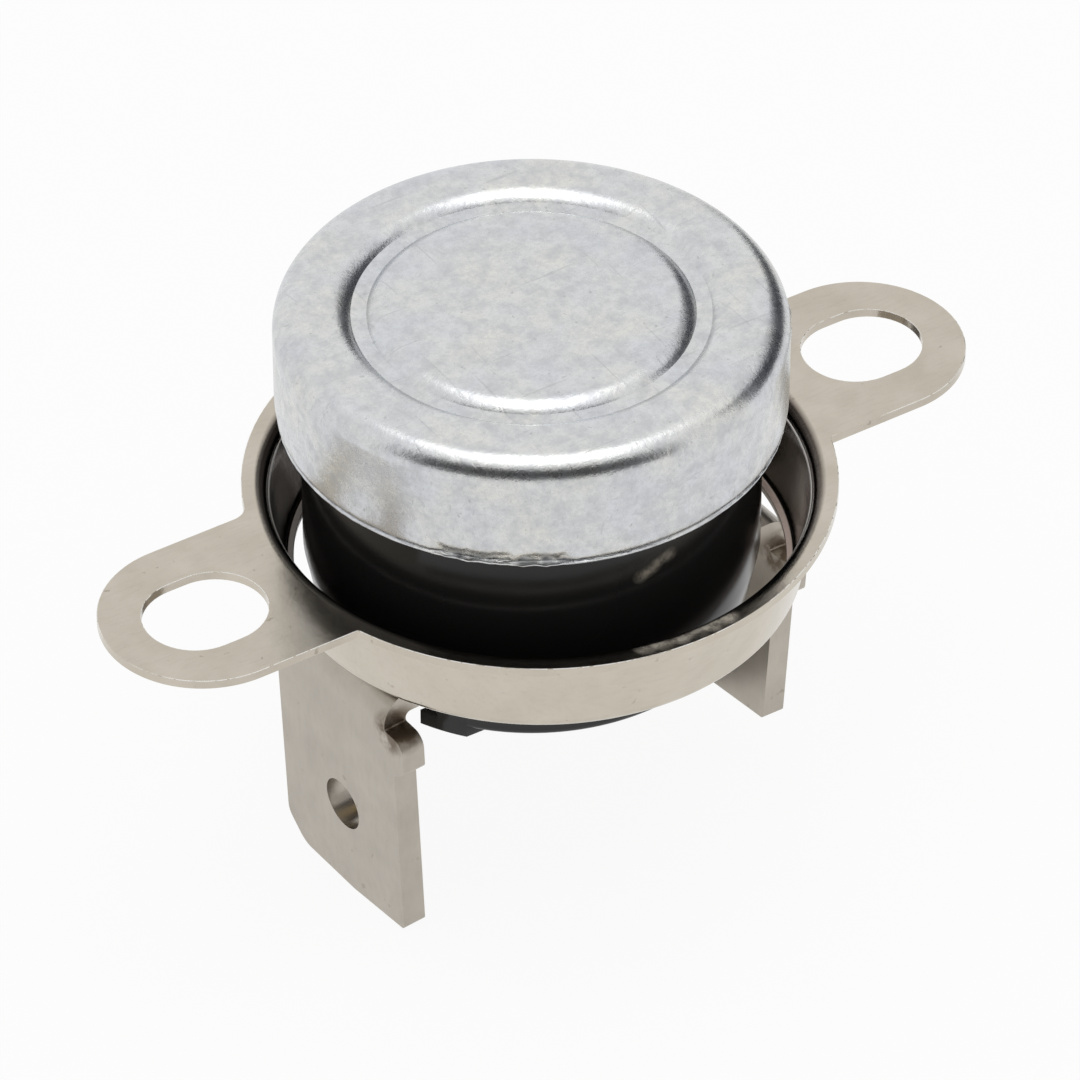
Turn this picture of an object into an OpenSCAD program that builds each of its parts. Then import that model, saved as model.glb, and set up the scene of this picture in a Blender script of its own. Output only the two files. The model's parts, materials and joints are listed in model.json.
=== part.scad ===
// Snap-disc safety thermostat of a clothes dryer, with its loose mounting bracket.
// A black moulded housing holds the switch, a drawn cap over the bimetal disc closes its
// top, and two push-on blades come out of its underside. The bracket is a drawn dish with
// two slotted ears. It lies loose on the housing's neck, between the blades and the cap.
// Millimetres. The origin is the middle between the ears' two slots, on the bracket's top
// face. +X runs along the ears and +Z points up through the cap's face.

/* [Bimetal disc] */
// Diameter of the bimetal disc, which sets the diameters of housing, cap and bracket
disc_d = 12.7; // [12:0.1:14]
// Thickness of the bimetal disc
disc_t = 0.2; // [0.15:0.01:0.25]
// Height of the disc's dome
disc_dome = 0.2; // [0.18:0.01:0.24]

/* [Sensing cap] */
// Thickness of the cap's sheet
cap_wall = 0.4; // [0.3:0.05:0.5]
// Height of the cap from its face down to its rolled rim
cap_h = 3.9; // [3.5:0.05:4.2]
// Outer radius of the edge round the cap's face
cap_edge_r = 0.8; // [0.6:0.05:1.1]
// Outer radius of the rolled rim
rim_roll_r = 0.5; // [0.45:0.05:0.6]
// Distance from the cap's outside to the middle of the ring groove in its face
groove_edge_w = 2.62; // [2.5:0.02:3]
// Width of the flat floor of the ring groove
groove_floor_w = 0.48; // [0.3:0.02:0.8]
// Depth of the ring groove
groove_depth = 0.28; // [0.2:0.02:0.36]
// Radius of the groove's rounded shoulders
groove_shoulder_r = 0.85; // [0.6:0.05:1]

/* [Housing] */
// Thickness of the housing's wall round the disc's seat
seat_wall = 0.91; // [0.6:0.01:1.2]
// Width of the ledge under the pin guide
seat_ledge_w = 0.9; // [0.6:0.05:1.1]
// How far the neck stands in from the flange that the cap grips
flange_step = 0.33; // [0.25:0.01:0.5]
// How far the foot stands in from the neck
foot_step = 0.48; // [0.3:0.02:0.7]
// Height of the taper from the foot up to the neck
foot_taper_h = 3.3; // [2.5:0.1:4]
// How far the housing reaches below the upper faces of the terminals' shanks
skirt_h = 1.5; // [1.3:0.05:1.8]
// Thickness of the switch chamber's floor
floor_t = 1.25; // [1:0.05:1.6]
// Height of the switch chamber, from its floor to the pin guide
chamber_h = 6.25; // [6:0.05:7]
// How far the bars beside the shanks stand below the foot
bar_h = 0.3; // [0.1:0.05:0.5]
// Width of each bar
bar_w = 1.1; // [0.8:0.05:1.6]
// Width of the barrier between the two shanks
barrier_w = 3; // [2.4:0.1:3.2]
// How far the loose housing stands beside the bracket's middle, along X and Y
housing_shift = [-0.24, 0.1];
// How far the housing is turned in the bracket, in degrees
housing_turn = 3; // [0:0.5:20]

/* [Terminals] */
// Width of a blade
blade_w = 6.3; // [4.8:0.1:6.6]
// Thickness of the terminals' sheet
blade_t = 0.8; // [0.5:0.05:0.9]
// Height of the -X terminal, from its tip to its shank's upper face
terminal_h = 9.5; // [8.4:0.05:11]
// How far the -X blade leans towards the housing's axis, in degrees
blade_lean = 2.5; // [0:0.5:4]
// How far the +X blade leans towards the housing's axis, in degrees
strip_lean = 3.7; // [0:0.1:4]
// How much further out the +X blade stands at its bend
strip_out = 0.3; // [0:0.05:0.4]
// How much shorter the +X blade is
strip_short = 1.67; // [0:0.01:1.9]
// Width of a shank
shank_w = 5.1; // [4.4:0.1:5.4]
// How far each shoulder stands out past the blade's edge
shoulder_out = 0.46; // [0.3:0.02:0.6]
// Radius of the shoulders' upper corners
shoulder_r = 0.5; // [0.3:0.05:0.6]
// Height of the shoulders
shoulder_h = 1.42; // [1.2:0.01:1.9]
// Inner radius of the terminals' bend
bend_r = 0.35; // [0.2:0.05:0.4]
// Diameter of the detent hole in each blade
detent_d = 1.75; // [1.2:0.05:2]
// Height of each detent hole's middle above the blade's tip
detent_h = 3.4; // [2.8:0.1:3.8]
// Width of the slanted corner of each tip
tip_cut_w = 1.85; // [0.6:0.05:2.2]
// Height of the slanted corner of each tip
tip_cut_h = 1.25; // [0.6:0.05:1.6]
// How far each tip rises from there to its rounded corner
tip_rise = 0.25; // [0:0.01:0.4]
// Radius of the rounded corner of each tip
tip_r = 0.45; // [0.2:0.05:0.8]
// How far the terminals' middle stands off their rivets' line
terminal_off = 0.13; // [0:0.01:0.2]

/* [Mounting bracket] */
// Distance between the middles of the two slots
slot_pitch = 24; // [23.5:0.1:26]
// Width of a slot
slot_w = 3.34; // [3:0.02:3.6]
// Length of a slot from end to end
slot_len = 3.94; // [3.6:0.02:4.6]
// Width of an ear
ear_w = 6.54; // [6:0.02:7.4]
// Length of an ear past the middle of its slot
ear_tip = 3.27; // [3.2:0.01:4]
// Radius of the fillet where an ear meets the dish's rim
ear_fillet_r = 0.6; // [0.3:0.1:1.5]
// Thickness of the bracket's sheet
bracket_t = 0.3; // [0.25:0.05:0.4]
// Width of the dish's flat rim outside its bend
dish_rim_w = 0.32; // [0.2:0.02:0.5]
// Radius of the rim's bend, on its underside
dish_bend_r = 0.2; // [0.15:0.05:0.35]
// How far the dish's wall leans in towards its floor, in degrees
dish_draft = 12; // [8:0.5:12]
// Depth of the dish
dish_depth = 3.3; // [2.8:0.05:3.6]
// Radius inside the corner between the dish's wall and its floor
dish_corner_r = 0.08; // [0.05:0.01:0.2]
// Width of the dish's narrow floor inside that corner
dish_floor_w = 0.12; // [0.1:0.01:0.3]

/* [Switch parts] */
// Thickness of the pin guide's plate
guide_t = 0.7; // [0.5:0.05:0.9]
// Height of the pin guide's rim, which carries the disc
guide_rim_h = 1.55; // [1.4:0.05:1.8]
// Width of the pin guide's rim
guide_rim_w = 0.9; // [0.6:0.05:1.2]
// Diameter of the pin guide's boss
guide_boss_d = 4; // [3.4:0.1:4.6]
// Length of the boss below the guide's plate
guide_boss_h = 1.4; // [0.8:0.1:1.6]
// Diameter of the ceramic pin
pin_d = 1.8; // [1.5:0.1:2]
// Diameter of the pin's narrowed lower end
pin_foot_d = 0.7; // [0.5:0.05:1]
// Distance of each rivet's axis from the chamber's wall
rivet_edge_w = 2; // [1.9:0.05:2.2]
// Diameter of the rivets' shanks
rivet_d = 1.6; // [1.2:0.1:1.8]
// Diameter of the rivets' heads in the chamber
rivet_head_d = 2.4; // [2.2:0.1:2.5]
// Diameter of the rivets' heads under the terminals
rivet_foot_d = 3.2; // [2.6:0.1:3.6]
// Height of a rivet's head
rivet_head_h = 0.5; // [0.4:0.05:0.55]
// Thickness of the contact arm's spring strip
arm_t = 0.25; // [0.15:0.05:0.3]
// Width of the contact arm
arm_w = 3.4; // [2.8:0.1:3.5]
// Height of the contact arm's flat above the chamber's floor
arm_rise = 2.3; // [2.1:0.05:2.6]
// Thickness of the fixed contact's strip
strip_t = 0.4; // [0.3:0.05:0.5]
// Width of the fixed contact's strip
strip_w = 3.2; // [2.6:0.1:3.4]
// Distance of the contacts' axis from the chamber's wall
contact_edge_w = 2.6; // [2.5:0.05:2.9]
// Diameter of the contact buttons
contact_d = 2.2; // [1.8:0.1:2.4]
// Thickness of a contact button
contact_t = 0.45; // [0.3:0.05:0.6]

/* [Hidden] */
$fn = 96;

// Clearances between the pieces
bracket_play = 0.57;
bracket_rest_gap = 0.05;
blade_gap = 0.2;
shank_side_play = 0.6;
shank_end_play = 0.15;
cap_play = 0.05;
rim_gap = 0.1;
disc_play = 0.12;
disc_side_play = 0.15;
disc_pin_play = 0.1;
guide_play = 0.1;
pin_play = 0.05;
pin_end_play = 0.08;
arm_play = 0.15;
rivet_play = 0.05;
contact_play = 0.02;
chamber_play = 0.12;
eps = 0.01;

// Radii, worked out from the disc outwards
disc_r = disc_d / 2;
seat_r = disc_r + disc_side_play;
chamber_r = seat_r - seat_ledge_w;
flange_r = seat_r + seat_wall;
cap_inner_r = flange_r + cap_play;
cap_r = cap_inner_r + cap_wall;
groove_mid_r = cap_r - groove_edge_w;
neck_r = flange_r - flange_step;
rim_lip_r = neck_r + rim_gap;
foot_r = neck_r - foot_step;
dish_hole_r = neck_r + bracket_play;

// Heights, worked out from the bracket's top face down to the tips and up to the cap
dish_z = -dish_depth;
shank_z = dish_z - bracket_rest_gap;
foot_z = shank_z - skirt_h;
tip_z = shank_z - terminal_h;
floor_z = shank_z + floor_t;
guide_z = floor_z + chamber_h;
disc_z = guide_z + guide_rim_h;
cap_inner_z = disc_z + disc_t + disc_play + groove_depth;
cap_z = cap_inner_z + cap_wall;
rim_z = cap_z - cap_h;
housing_z = cap_inner_z - cap_play;
flange_z = rim_z + cap_wall + cap_play;

// The switch, along the line of the two terminals
arm_z = floor_z + arm_rise;
arm_top_z = arm_z + arm_t;
strip_z = arm_top_z + 2 * contact_t + contact_play;
rivet_x = chamber_r - rivet_edge_w;
contact_x = chamber_r - contact_edge_w;
arm_out_x = sqrt(pow(chamber_r - chamber_play, 2) - pow(arm_w / 2, 2));
strip_out_x = sqrt(pow(chamber_r - chamber_play, 2) - pow(strip_w / 2, 2));

// The terminals
channel_w = shank_w + 2 * shank_side_play;
shank_in_x = barrier_w / 2 + shank_end_play;
bend_x = foot_r + blade_gap - bend_r;
bend_z = shank_z - blade_t - bend_r;

// The dish's section, worked out from its hole outwards: the middles of its lower corner
// and of its upper bend, and the length of the leaning wall between them
dish_corner_x = dish_hole_r + dish_floor_w;
dish_bend_z = -bracket_t - dish_bend_r;
dish_bend_out = dish_bend_r + bracket_t + dish_corner_r;
dish_wall_len = (dish_bend_z + dish_bend_out * sin(dish_draft)
    - dish_z - bracket_t - dish_corner_r) / cos(dish_draft);
dish_bend_x = dish_corner_x + dish_bend_out * cos(dish_draft)
    + dish_wall_len * sin(dish_draft);
dish_rim_r = dish_bend_x + dish_rim_w;

// Rectangle between two corners.
module box2(x0, z0, x1, z1) {
    translate([x0, z0]) square([x1 - x0, z1 - z0]);
}

// Bent sheet: the arc from angle a0 to a1 with inner radius r and thickness t.
module bend2(x, z, r, t, a0, a1) {
    far = 2 * (r + t);
    mid = (a0 + a1) / 2;
    translate([x, z]) intersection() {
        difference() {
            circle(r + t);
            circle(r);
        }
        polygon([[0, 0], far * [cos(a0), sin(a0)], far * [cos(mid), sin(mid)],
            far * [cos(a1), sin(a1)]]);
    }
}

// Places what is fixed to the housing, which stands loose in the bracket.
module in_housing() {
    translate([housing_shift[0], housing_shift[1], 0]) rotate(housing_turn) children();
}

// Concave piece above a rounded shoulder of the groove, at radius r on the named side.
module shoulder_cut(r, side) {
    cut_w = sqrt(pow(groove_shoulder_r, 2) - pow(groove_shoulder_r - groove_depth, 2));
    difference() {
        translate([side > 0 ? r - eps : r - cut_w, cap_z - groove_depth])
            square([cut_w + eps, groove_depth + eps]);
        translate([r + side * cut_w, cap_z - groove_shoulder_r])
            circle(groove_shoulder_r);
    }
}

// Section of the cap: face with its groove, rounded edge, wall and rolled rim.
module cap_section() {
    groove_in = groove_mid_r - groove_floor_w / 2;
    groove_out = groove_mid_r + groove_floor_w / 2;
    difference() {
        union() {
            box2(0, cap_inner_z, cap_r - cap_edge_r, cap_z);
            box2(groove_in - cap_wall / 2, cap_inner_z - groove_depth,
                groove_out + cap_wall / 2, cap_z);
        }
        box2(groove_in, cap_z - groove_depth, groove_out, cap_z + eps);
        shoulder_cut(groove_in, -1);
        shoulder_cut(groove_out, 1);
    }
    bend2(cap_r - cap_edge_r, cap_z - cap_edge_r, cap_edge_r - cap_wall, cap_wall, 0, 90);
    box2(cap_inner_r, rim_z + rim_roll_r, cap_r, cap_z - cap_edge_r);
    bend2(cap_r - rim_roll_r, rim_z + rim_roll_r, rim_roll_r - cap_wall, cap_wall, -90, 0);
    box2(rim_lip_r, rim_z, cap_r - rim_roll_r, rim_z + cap_wall);
}

// Drawn cap, with its rim rolled in under the housing's flange.
module cap() {
    color("gainsboro") in_housing() rotate_extrude() cap_section();
}

// Bimetal disc, domed up towards the cap while it is cold.
module bimetal_disc() {
    steps = 12;
    function rise(r) = disc_dome * (1 - pow(r / disc_r, 2));
    under = [for (i = [0 : steps]) let (r = disc_r * i / steps) [r, disc_z + rise(r)]];
    over = [for (i = [steps : -1 : 0]) let (r = disc_r * i / steps)
        [r, disc_z + disc_t + rise(r)]];
    color("silver") in_housing() rotate_extrude() polygon(concat(under, over));
}

// Pin guide: a plate with a rim for the disc and a bored boss for the pin.
module pin_guide() {
    guide_r = seat_r - guide_play;
    color("saddlebrown") in_housing() difference() {
        union() {
            translate([0, 0, guide_z]) cylinder(r = guide_r, h = guide_rim_h);
            translate([0, 0, guide_z - guide_boss_h])
                cylinder(d = guide_boss_d, h = guide_boss_h + eps);
        }
        translate([0, 0, guide_z + guide_t])
            cylinder(r = guide_r - guide_rim_w, h = guide_rim_h);
        translate([0, 0, guide_z - guide_boss_h - eps])
            cylinder(r = pin_d / 2 + pin_play, h = guide_boss_h + guide_rim_h);
    }
}

// Ceramic pin between the disc and the contact arm, with a narrowed lower end.
module transfer_pin() {
    foot_h = pin_d / 4;
    top_z = disc_z + disc_dome - disc_pin_play;
    bottom_z = arm_top_z + pin_end_play;
    color("white") in_housing() {
        translate([0, 0, bottom_z]) cylinder(d1 = pin_foot_d, d2 = pin_d, h = foot_h);
        translate([0, 0, bottom_z + foot_h])
            cylinder(d = pin_d, h = top_z - bottom_z - foot_h);
    }
}

// Outside of the housing: tapered foot, neck, and the flange that the cap grips.
module housing_outside() {
    foot_edge = 0.2;
    flange_edge = cap_edge_r - cap_wall + 0.1;
    rotate_extrude() polygon([
        [0, foot_z],
        [foot_r - foot_edge, foot_z],
        [foot_r, foot_z + foot_edge],
        [neck_r, foot_z + foot_taper_h],
        [neck_r, flange_z],
        [flange_r, flange_z],
        [flange_r, housing_z - flange_edge],
        [flange_r - flange_edge, housing_z],
        [0, housing_z]
    ]);
}

// The bars on both sides of the shanks, flush with the housing's round foot.
module housing_bars() {
    intersection() {
        translate([0, 0, foot_z - bar_h]) cylinder(r = foot_r, h = bar_h + eps);
        for (side = [1, -1])
            translate([-foot_r, side > 0 ? channel_w / 2 : -channel_w / 2 - bar_w,
                foot_z - bar_h])
                cube([2 * foot_r, bar_w, bar_h + eps]);
    }
}

// Moulded housing with its chamber, the seat of guide and disc, and the shanks' channels.
module housing() {
    color([0.07, 0.07, 0.07]) in_housing() difference() {
        union() {
            housing_outside();
            housing_bars();
        }
        translate([0, 0, floor_z]) cylinder(r = chamber_r, h = chamber_h + eps);
        translate([0, 0, guide_z]) cylinder(r = seat_r, h = housing_z - guide_z + eps);
        for (side = [1, -1]) {
            translate([side > 0 ? barrier_w / 2 : -barrier_w / 2 - neck_r, -channel_w / 2,
                foot_z - eps])
                cube([neck_r, channel_w, skirt_h + eps]);
            translate([side * rivet_x, 0, shank_z - eps])
                cylinder(d = rivet_d + 2 * rivet_play, h = floor_t + 2 * eps);
        }
    }
}

// Side view of the contact arm: its riveted tail, the ramp and the flat.
module arm_section(tail_z) {
    ramp_run = 0.8;
    ramp_x0 = rivet_head_d / 2 + arm_play - rivet_x;
    ramp_x1 = ramp_x0 + ramp_run;
    end_x = contact_x + contact_d / 2 + arm_play;
    polygon([
        [-arm_out_x, tail_z], [ramp_x0, tail_z], [ramp_x1, arm_z], [end_x, arm_z],
        [end_x, arm_top_z], [ramp_x1 - arm_t, arm_top_z], [ramp_x0 - arm_t, tail_z + arm_t],
        [-arm_out_x, tail_z + arm_t]
    ]);
}

// Spring strip that carries the moving contact. Its tail lies under the rivet's head.
module contact_arm() {
    color("peru") in_housing() difference() {
        rotate([90, 0, 0]) linear_extrude(arm_w, center = true)
            arm_section(floor_z + arm_play);
        translate([-rivet_x, 0, floor_z])
            cylinder(d = rivet_d + 2 * arm_play, h = arm_t + 2 * arm_play);
        translate([contact_x, 0, arm_z - eps]) cylinder(d = contact_d / 2, h = arm_t + 2 * eps);
    }
}

// Silver button with a stem through the arm and a small upset head below it.
module moving_contact() {
    upset_h = contact_t / 3;
    color("whitesmoke") in_housing() translate([contact_x, 0, 0]) {
        translate([0, 0, arm_top_z]) cylinder(d = contact_d, h = contact_t);
        translate([0, 0, arm_z - upset_h])
            cylinder(d = contact_d / 2, h = arm_t + upset_h + eps);
        translate([0, 0, arm_z - upset_h]) cylinder(d = contact_d * 0.7, h = upset_h);
    }
}

// Bent strip that holds the fixed contact above the moving one.
module fixed_contact_strip() {
    foot_in_x = rivet_x - rivet_head_d / 2 - strip_t / 2;
    top_in_x = contact_x - contact_d / 2 - strip_t / 2;
    color("goldenrod") in_housing() difference() {
        rotate([90, 0, 0]) linear_extrude(strip_w, center = true) {
            box2(foot_in_x, floor_z, strip_out_x, floor_z + strip_t);
            box2(strip_out_x - strip_t, floor_z, strip_out_x, strip_z + strip_t);
            box2(top_in_x, strip_z, strip_out_x, strip_z + strip_t);
        }
        translate([rivet_x, 0, floor_z - eps])
            cylinder(d = rivet_d + 2 * rivet_play, h = strip_t + 2 * eps);
        translate([contact_x, 0, strip_z - eps])
            cylinder(d = contact_d / 2, h = strip_t + 2 * eps);
    }
}

// Fixed silver button, with its stem up through the strip.
module fixed_contact() {
    color("whitesmoke") in_housing() translate([contact_x, 0, strip_z - contact_t]) {
        cylinder(d = contact_d, h = contact_t);
        cylinder(d = contact_d / 2, h = contact_t + strip_t);
    }
}

// Rivet through a shank and the floor. Its upper head lies held_h above the floor.
module rivet(side, held_h) {
    bottom_z = shank_z - blade_t;
    top_z = floor_z + held_h;
    color("darkgoldenrod") in_housing() translate([side * rivet_x, 0, 0]) {
        translate([0, 0, bottom_z - rivet_head_h])
            cylinder(d1 = rivet_foot_d - rivet_head_h, d2 = rivet_foot_d, h = rivet_head_h);
        translate([0, 0, bottom_z - eps]) cylinder(d = rivet_d, h = top_z - bottom_z + 2 * eps);
        translate([0, 0, top_z]) cylinder(d = rivet_head_d, h = rivet_head_h);
    }
}

module arm_rivet() {
    rivet(-1, arm_t + 2 * arm_play);
}

module strip_rivet() {
    rivet(1, strip_t);
}

// Side view of a terminal with its bend at x: flat shank, bend, and the leaning blade.
module terminal_section(x, lean, end_z) {
    box2(shank_in_x, shank_z - blade_t, x + eps, shank_z);
    bend2(x, bend_z, bend_r, blade_t, -lean, 90);
    translate([x, bend_z]) rotate(-lean)
        box2(bend_r, end_z - bend_z - blade_t, bend_r + blade_t, eps);
}

// What a rounding of radius r takes off the corner at [y, z], which points to the signs.
module corner_cut(y, z, r, sign_y, sign_z) {
    translate([y, z]) difference() {
        translate([sign_y > 0 ? -r : -eps, sign_z > 0 ? -r : -eps]) square(r + eps);
        translate([-sign_y * r, -sign_z * r]) circle(r);
    }
}

// Front view of a terminal: the shank, the shoulders under its bend, and the blade, which
// ends at end_z.
module terminal_outline(end_z) {
    blade_y = blade_w / 2;
    out_y = blade_y + shoulder_out;
    top_z = bend_z - blade_gap;
    low_z = top_z - shoulder_h;
    tip_run = blade_w - tip_cut_w;
    tip_turn = atan(tip_rise / tip_run);
    round_y = blade_y - tip_r;
    round_z = end_z + tip_rise * (tip_run - tip_r) / tip_run + tip_r / cos(tip_turn);
    difference() {
        union() {
            polygon([
                [-shank_w / 2, shank_z], [-shank_w / 2, top_z],
                [-out_y, top_z], [-out_y, low_z + shoulder_out], [-blade_y, low_z],
                [-blade_y, end_z + tip_cut_h], [-blade_y + tip_cut_w, end_z],
                [round_y + tip_r * sin(tip_turn), round_z - tip_r * cos(tip_turn)],
                [blade_y, round_z],
                [blade_y, low_z], [out_y, low_z + shoulder_out], [out_y, top_z],
                [shank_w / 2, top_z], [shank_w / 2, shank_z]
            ]);
            translate([round_y, round_z]) circle(tip_r);
        }
        corner_cut(out_y, top_z, shoulder_r, 1, 1);
        corner_cut(-out_y, top_z, shoulder_r, -1, 1);
        translate([0, end_z + detent_h]) circle(d = detent_d);
    }
}

// Terminal on the +X side: a bent strip, cut to its outline, with its rivet's hole. Its
// bend is at x, and its blade leans by an angle and ends at end_z.
module terminal(x, lean, end_z) {
    difference() {
        intersection() {
            rotate([90, 0, 0]) linear_extrude(2 * blade_w, center = true)
                terminal_section(x, lean, end_z);
            rotate([90, 0, 90]) linear_extrude(2 * foot_r)
                translate([terminal_off, 0]) terminal_outline(end_z);
        }
        translate([rivet_x, 0, shank_z - blade_t - eps])
            cylinder(d = rivet_d + 2 * rivet_play, h = blade_t + 2 * eps);
    }
}

module strip_terminal() {
    color([0.74, 0.71, 0.67]) in_housing() mirror([0, 1, 0])
        terminal(bend_x + strip_out, strip_lean, tip_z + strip_short);
}

module arm_terminal() {
    color([0.74, 0.71, 0.67]) in_housing() rotate(180) terminal(bend_x, blade_lean, tip_z);
}

// Section of the bracket's dish: flat rim, bend, leaning wall, corner and narrow floor.
module dish_section() {
    corner_z = dish_z + bracket_t + dish_corner_r;
    box2(dish_bend_x - eps, -bracket_t, dish_rim_r, 0);
    bend2(dish_bend_x, dish_bend_z, dish_bend_r, bracket_t, 90, 180 - dish_draft);
    translate([dish_bend_x, dish_bend_z]) rotate(-dish_draft)
        box2(-dish_bend_r - bracket_t, -dish_wall_len - eps, -dish_bend_r, eps);
    bend2(dish_corner_x, corner_z, dish_corner_r, bracket_t, -90, -dish_draft);
    box2(dish_hole_r, dish_z, dish_corner_x + eps, dish_z + bracket_t);
}

// Fillet between the dish's rim and an ear's long edge, in the +X +Y quarter.
module ear_fillet() {
    y = ear_w / 2 + ear_fillet_r;
    x = sqrt(pow(dish_rim_r + ear_fillet_r, 2) - pow(y, 2));
    share = dish_rim_r / (dish_rim_r + ear_fillet_r);
    difference() {
        polygon([[x, ear_w / 2 - eps], [x, y], [x, y] * share,
            [x * share - bracket_t, ear_w / 2 - eps]]);
        translate([x, y]) circle(ear_fillet_r);
    }
}

// The two ears with their slots, cut free where the dish is drawn.
module ears_outline() {
    round_x = slot_pitch / 2 + ear_tip - ear_w / 2;
    slot_shift = (slot_len - slot_w) / 2;
    difference() {
        union() {
            box2(-round_x, -ear_w / 2, round_x, ear_w / 2);
            for (side = [1, -1]) translate([side * round_x, 0]) circle(d = ear_w);
            for (flip_x = [0, 1], flip_y = [0, 1])
                mirror([flip_x, 0]) mirror([0, flip_y]) ear_fillet();
        }
        circle(dish_bend_x);
        for (side = [1, -1]) translate([side * slot_pitch / 2, 0]) {
            box2(-slot_shift, -slot_w / 2, slot_shift, slot_w / 2);
            for (end = [1, -1]) translate([end * slot_shift, 0]) circle(d = slot_w);
        }
    }
}

// Loose mounting bracket, pressed from one sheet.
module mounting_bracket() {
    color([0.77, 0.74, 0.69]) union() {
        rotate_extrude() dish_section();
        translate([0, 0, -bracket_t]) linear_extrude(bracket_t) ears_outline();
    }
}

cap();
bimetal_disc();
pin_guide();
transfer_pin();
housing();
contact_arm();
moving_contact();
fixed_contact_strip();
fixed_contact();
arm_rivet();
strip_rivet();
arm_terminal();
strip_terminal();
mounting_bracket();
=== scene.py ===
# %% [markdown]
# # A dryer's safety thermostat
# A snap disc under an aluminium cap feels the heat of the duct. Round it sit a black
# moulded housing, a loose mounting bracket of nickel-plated steel and two push-on blades.
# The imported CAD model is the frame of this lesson: every new piece is built in the same
# place, in metres, and stands for the CAD node that it covers.

# %% Load the frame
import json
import math
import random

import bmesh
import bpy
from mathutils import Matrix, Vector
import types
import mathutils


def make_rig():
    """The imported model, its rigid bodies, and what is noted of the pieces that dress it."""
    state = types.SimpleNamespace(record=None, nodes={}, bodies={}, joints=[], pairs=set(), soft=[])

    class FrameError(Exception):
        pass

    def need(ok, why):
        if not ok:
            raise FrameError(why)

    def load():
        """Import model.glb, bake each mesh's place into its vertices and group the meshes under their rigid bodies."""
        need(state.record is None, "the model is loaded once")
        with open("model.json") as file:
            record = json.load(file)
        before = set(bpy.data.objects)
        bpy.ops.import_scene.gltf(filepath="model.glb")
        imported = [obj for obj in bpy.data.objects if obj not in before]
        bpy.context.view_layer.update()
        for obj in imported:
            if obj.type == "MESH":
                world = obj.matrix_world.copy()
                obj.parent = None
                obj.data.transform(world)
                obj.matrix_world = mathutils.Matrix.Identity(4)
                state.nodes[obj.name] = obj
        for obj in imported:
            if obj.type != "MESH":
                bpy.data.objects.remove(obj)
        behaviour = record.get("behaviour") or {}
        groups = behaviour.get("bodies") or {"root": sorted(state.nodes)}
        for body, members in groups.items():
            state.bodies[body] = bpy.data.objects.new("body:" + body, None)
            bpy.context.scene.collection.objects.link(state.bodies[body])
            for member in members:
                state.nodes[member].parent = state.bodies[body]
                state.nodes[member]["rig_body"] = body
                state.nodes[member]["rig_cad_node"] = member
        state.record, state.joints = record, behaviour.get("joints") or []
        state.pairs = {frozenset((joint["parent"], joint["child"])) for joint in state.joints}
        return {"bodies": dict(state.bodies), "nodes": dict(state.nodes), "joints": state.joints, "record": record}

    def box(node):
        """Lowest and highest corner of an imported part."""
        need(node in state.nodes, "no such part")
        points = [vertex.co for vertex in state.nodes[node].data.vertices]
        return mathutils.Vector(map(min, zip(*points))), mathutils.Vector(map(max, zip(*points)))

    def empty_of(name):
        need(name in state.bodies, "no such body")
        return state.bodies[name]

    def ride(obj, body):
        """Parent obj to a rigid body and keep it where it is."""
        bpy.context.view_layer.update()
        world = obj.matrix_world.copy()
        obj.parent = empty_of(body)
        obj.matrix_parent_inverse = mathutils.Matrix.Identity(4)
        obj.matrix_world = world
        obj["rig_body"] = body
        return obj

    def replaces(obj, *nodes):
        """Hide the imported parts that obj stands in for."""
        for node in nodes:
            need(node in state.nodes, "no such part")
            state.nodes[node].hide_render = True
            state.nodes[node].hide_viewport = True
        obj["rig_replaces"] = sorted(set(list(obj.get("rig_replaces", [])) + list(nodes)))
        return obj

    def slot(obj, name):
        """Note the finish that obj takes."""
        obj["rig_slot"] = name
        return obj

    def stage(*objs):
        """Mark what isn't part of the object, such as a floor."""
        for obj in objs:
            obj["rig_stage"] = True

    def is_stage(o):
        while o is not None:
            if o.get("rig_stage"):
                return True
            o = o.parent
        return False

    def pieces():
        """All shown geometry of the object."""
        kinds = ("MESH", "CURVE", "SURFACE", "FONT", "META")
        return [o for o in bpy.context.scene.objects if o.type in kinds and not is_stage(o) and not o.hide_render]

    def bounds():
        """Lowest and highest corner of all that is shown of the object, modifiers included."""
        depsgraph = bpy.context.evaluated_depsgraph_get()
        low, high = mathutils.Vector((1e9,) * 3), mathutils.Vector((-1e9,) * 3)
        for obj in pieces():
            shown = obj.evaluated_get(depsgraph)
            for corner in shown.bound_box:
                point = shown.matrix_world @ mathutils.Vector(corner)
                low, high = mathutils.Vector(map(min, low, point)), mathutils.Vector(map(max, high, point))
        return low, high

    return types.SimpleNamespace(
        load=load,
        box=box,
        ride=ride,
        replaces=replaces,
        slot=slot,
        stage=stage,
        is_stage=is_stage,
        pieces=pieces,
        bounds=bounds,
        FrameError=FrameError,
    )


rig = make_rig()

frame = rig.load()
MM = 0.001
cad_box = [list(corner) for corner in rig.bounds()]
random.seed(7)
print("CAD box in mm:", [[round(v / MM, 2) for v in corner] for corner in cad_box])

# %% [markdown]
# ## The camera
# The picture was taken from some distance with a long lens, so the ellipses of cap and
# bracket hardly change from front to back. A lens of 267 mm at a quarter of a metre gives
# the same. Its place follows from an azimuth and an elevation round a point below the
# bracket's top face.

# %% Camera
CAMERA_AIM = Vector((0, 0, -2.58)) * MM
CAMERA_AZIMUTH, CAMERA_ELEVATION = math.radians(-32.72), math.radians(39.51)
CAMERA_DISTANCE = 248 * MM
LENS_MM, SENSOR_MM = 266.93, 36

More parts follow.
